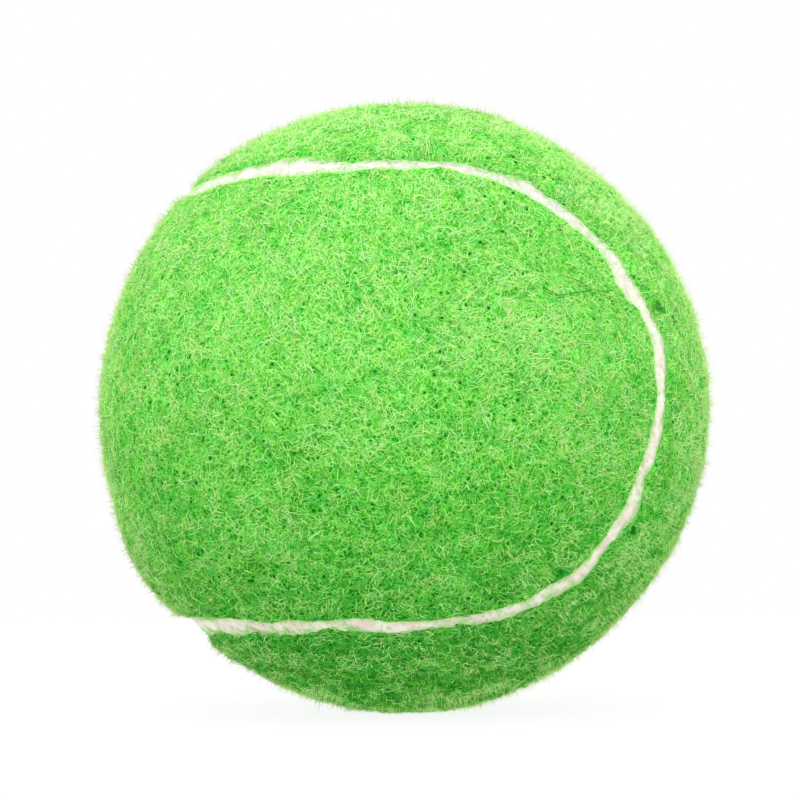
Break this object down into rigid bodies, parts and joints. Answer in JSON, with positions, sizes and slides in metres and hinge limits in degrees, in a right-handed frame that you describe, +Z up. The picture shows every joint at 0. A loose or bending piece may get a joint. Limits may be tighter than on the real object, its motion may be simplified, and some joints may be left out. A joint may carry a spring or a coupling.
{
  "type": "tennis ball",
  "caption": "Tennis ball: a hollow rubber core covered with interlocking dog-bone panels of bright green felt, with a pale rubber seam between them.",
  "frame": {"origin": "centre of the ball", "axes": "+Z up; X is the seam's main symmetry axis, through the waists of both felt panels, with the left panel's waist at -X; the left panel's lobes are centred on -Y and +Y, the right panel's on -Z and +Z"},
  "size_m": [0.067, 0.067, 0.067],
  "materials": {
    "felt": "needle-punched wool and nylon felt, bright green",
    "seam_rubber": "matt off-white rubber",
    "core_rubber": "matt dark grey moulded rubber",
    "cement": "thin amber rubber cement"
  },
  "bodies": {
    "root": {"core_upper_half": "core_rubber", "core_lower_half": "core_rubber", "core_joint_cement": "cement", "left_panel_cement": "cement", "right_panel_cement": "cement", "left_felt_panel": "felt", "right_felt_panel": "felt", "seam": "seam_rubber"}
  },
  "joints": []
}
